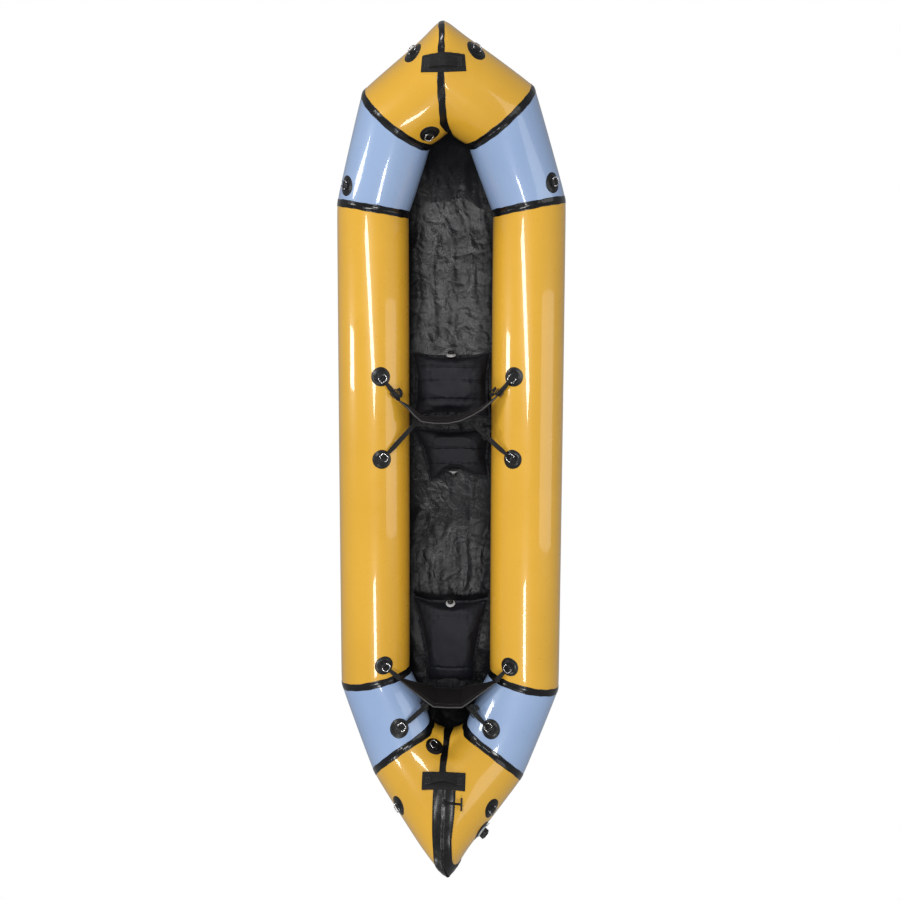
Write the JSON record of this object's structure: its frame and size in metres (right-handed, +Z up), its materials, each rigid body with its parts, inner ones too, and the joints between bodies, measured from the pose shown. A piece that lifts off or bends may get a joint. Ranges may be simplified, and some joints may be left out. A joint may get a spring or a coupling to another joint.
{
  "type": "packraft",
  "caption": "Slim two-seat inflatable packraft with raised pointed ends, inflatable seats, strapped backrests, a foot brace, a stern cargo zip, lashing rings and webbing handles.",
  "frame": {"origin": "on the ground under the middle of the outline; the hull stands on its two side tubes", "axes": "+Y towards the bow, +X to starboard, +Z up"},
  "size_m": [0.8914, 3.0672, 0.5759],
  "materials": {
    "shell_yellow": "glossy urethane-coated nylon",
    "shell_blue": "glossy urethane-coated nylon",
    "tape_black": "glossy heat-bonded seam tape",
    "floor_black": "satin coated heavy cloth",
    "cushion_black": "matt coated cloth",
    "band_black": "matt padded cloth",
    "webbing_black": "woven webbing",
    "patch_black": "satin coated cloth",
    "ring_steel": "bright wire",
    "zip_black": "satin airtight zip",
    "valve_black": "matt",
    "valve_grey": "matt"
  },
  "bodies": {
    "hull": {"bow_handle": "webbing_black", "bow_inner_patch": "patch_black", "bow_quarter_port_patch": "patch_black", "bow_quarter_starboard_patch": "patch_black", "bow_seam_tapes": "tape_black", "bow_side_port_patch": "patch_black", "bow_side_starboard_patch": "patch_black", "floor_sheet": "floor_black", "foot_brace": "cushion_black", "front_lower_port_lashing": "patch_black", "front_lower_port_strap": "webbing_black", "front_lower_starboard_lashing": "patch_black", "front_lower_starboard_strap": "webbing_black", "front_seat": "cushion_black", "front_upper_port_lashing": "patch_black", "front_upper_port_strap": "webbing_black", "front_upper_starboard_lashing": "patch_black", "front_upper_starboard_strap": "webbing_black", "inflation_valve": "valve_grey", "port_bow_end_tube": "shell_yellow", "port_bow_quarter_tube": "shell_blue", "port_side_tube": "shell_yellow", "port_stern_end_tube": "shell_yellow", "port_stern_quarter_tube": "shell_blue", "rear_lower_port_lashing": "patch_black", "rear_lower_port_strap": "webbing_black", "rear_lower_starboard_lashing": "patch_black", "rear_lower_starboard_strap": "webbing_black", "rear_seat": "cushion_black", "rear_upper_port_lashing": "patch_black", "rear_upper_port_strap": "webbing_black", "rear_upper_starboard_lashing": "patch_black", "rear_upper_starboard_strap": "webbing_black", "starboard_bow_end_tube": "shell_yellow", "starboard_bow_quarter_tube": "shell_blue", "starboard_side_tube": "shell_yellow", "starboard_stern_end_tube": "shell_yellow", "starboard_stern_quarter_tube": "shell_blue", "stern_handle": "webbing_black", "stern_inner_patch": "patch_black", "stern_seam_tapes": "tape_black", "stern_side_port_patch": "patch_black", "stern_side_starboard_patch": "patch_black", "zip_strip": "zip_black"},
    "bow_inner_ring": {"bow_inner_ring": "ring_steel"},
    "bow_quarter_port_ring": {"bow_quarter_port_ring": "ring_steel"},
    "bow_quarter_starboard_ring": {"bow_quarter_starboard_ring": "ring_steel"},
    "bow_side_port_ring": {"bow_side_port_ring": "ring_steel"},
    "bow_side_starboard_ring": {"bow_side_starboard_ring": "ring_steel"},
    "stern_inner_ring": {"stern_inner_ring": "ring_steel"},
    "stern_side_port_ring": {"stern_side_port_ring": "ring_steel"},
    "stern_side_starboard_ring": {"stern_side_starboard_ring": "ring_steel"},
    "front_backrest": {"front_backrest": "band_black"},
    "rear_backrest": {"rear_backrest": "band_black"},
    "zip_slider": {"zip_slider": "zip_black"},
    "zip_pull": {"zip_pull": "zip_black"},
    "valve_cap": {"valve_cap": "valve_black"},
    "front_seat_valve": {"front_seat_valve": "valve_grey"},
    "foot_brace_valve": {"foot_brace_valve": "valve_grey"},
    "rear_seat_valve": {"rear_seat_valve": "valve_grey"}
  },
  "joints": [
    {"name": "bow_inner_ring_swing", "type": "hinge", "parent": "hull", "child": "bow_inner_ring", "pos_m": [-0.06, 1.18251, 0.36573], "axis": [-0.7651, -0.0305, 0.6432], "range_deg": [-12, 150]},
    {"name": "bow_quarter_port_ring_swing", "type": "hinge", "parent": "hull", "child": "bow_quarter_port_ring", "pos_m": [-0.38875, 1.04023, 0.26622], "axis": [0.3362, 0.8565, 0.3917], "range_deg": [-12, 150]},
    {"name": "bow_quarter_starboard_ring_swing", "type": "hinge", "parent": "hull", "child": "bow_quarter_starboard_ring", "pos_m": [0.38875, 1.04023, 0.26622], "axis": [0.3362, -0.8565, -0.3917], "range_deg": [-12, 150]},
    {"name": "bow_side_port_ring_swing", "type": "hinge", "parent": "hull", "child": "bow_side_port_ring", "pos_m": [-0.11354, 1.42359, 0.46845], "axis": [0.8059, 0.3902, 0.4453], "range_deg": [-12, 150]},
    {"name": "bow_side_starboard_ring_swing", "type": "hinge", "parent": "hull", "child": "bow_side_starboard_ring", "pos_m": [0.10763, 1.42419, 0.4731], "axis": [0.8059, -0.3902, -0.4453], "range_deg": [-12, 150]},
    {"name": "stern_inner_ring_swing", "type": "hinge", "parent": "hull", "child": "stern_inner_ring", "pos_m": [-0.04351, -1.10524, 0.3104], "axis": [0.4398, 0.1731, -0.8812], "range_deg": [-12, 150]},
    {"name": "stern_side_port_ring_swing", "type": "hinge", "parent": "hull", "child": "stern_side_port_ring", "pos_m": [-0.18108, -1.30629, 0.39554], "axis": [-0.6211, 0.5058, -0.5987], "range_deg": [-12, 150]},
    {"name": "stern_side_starboard_ring_swing", "type": "hinge", "parent": "hull", "child": "stern_side_starboard_ring", "pos_m": [0.17983, -1.30156, 0.39824], "axis": [-0.6211, -0.5058, 0.5987], "range_deg": [-12, 150]},
    {"name": "front_backrest_lean", "type": "hinge", "parent": "hull", "child": "front_backrest", "pos_m": [0, 0.14951, 0.122], "axis": [1, 0, 0], "range_deg": [-10, 14], "stiffness_Nm_per_rad": 2, "deforming": ["front_lower_port_strap", "front_lower_starboard_strap", "front_upper_port_strap", "front_upper_starboard_strap"]},
    {"name": "rear_backrest_lean", "type": "hinge", "parent": "hull", "child": "rear_backrest", "pos_m": [0, -0.97049, 0.122], "axis": [1, 0, 0], "range_deg": [-10, 14], "stiffness_Nm_per_rad": 2, "deforming": ["rear_lower_port_strap", "rear_lower_starboard_strap", "rear_upper_port_strap", "rear_upper_starboard_strap"]},
    {"name": "front_seat_valve_turn", "type": "hinge", "parent": "hull", "child": "front_seat_valve", "pos_m": [0, 0.41623, 0.0855], "axis": [-0.0001, 0.8911, 0.4538], "range_deg": [0, 180]},
    {"name": "foot_brace_valve_turn", "type": "hinge", "parent": "hull", "child": "foot_brace_valve", "pos_m": [0.01024, -0.05437, 0.0756], "axis": [0, -1, 0], "range_deg": [0, 180]},
    {"name": "rear_seat_valve_turn", "type": "hinge", "parent": "hull", "child": "rear_seat_valve", "pos_m": [0, -0.60578, 0.08508], "axis": [-0.0001, 0.8041, 0.5945], "range_deg": [0, 180]},
    {"name": "zip_slide", "type": "hinge", "parent": "hull", "child": "zip_slider", "pos_m": [0, -1.51507, 0.19303], "axis": [1, 0, 0], "range_deg": [0, 13]},
    {"name": "zip_pull_flip", "type": "hinge", "parent": "zip_slider", "child": "zip_pull", "pos_m": [0, -1.22242, 0.49846], "axis": [0, -0.7208, 0.6931], "range_deg": [0, 200]},
    {"name": "valve_cap_turn", "type": "hinge", "parent": "hull", "child": "valve_cap", "pos_m": [0.13908, -1.38868, 0.39914], "axis": [0.779, -0.4825, 0.4005], "range_deg": [0, 270]}
  ]
}
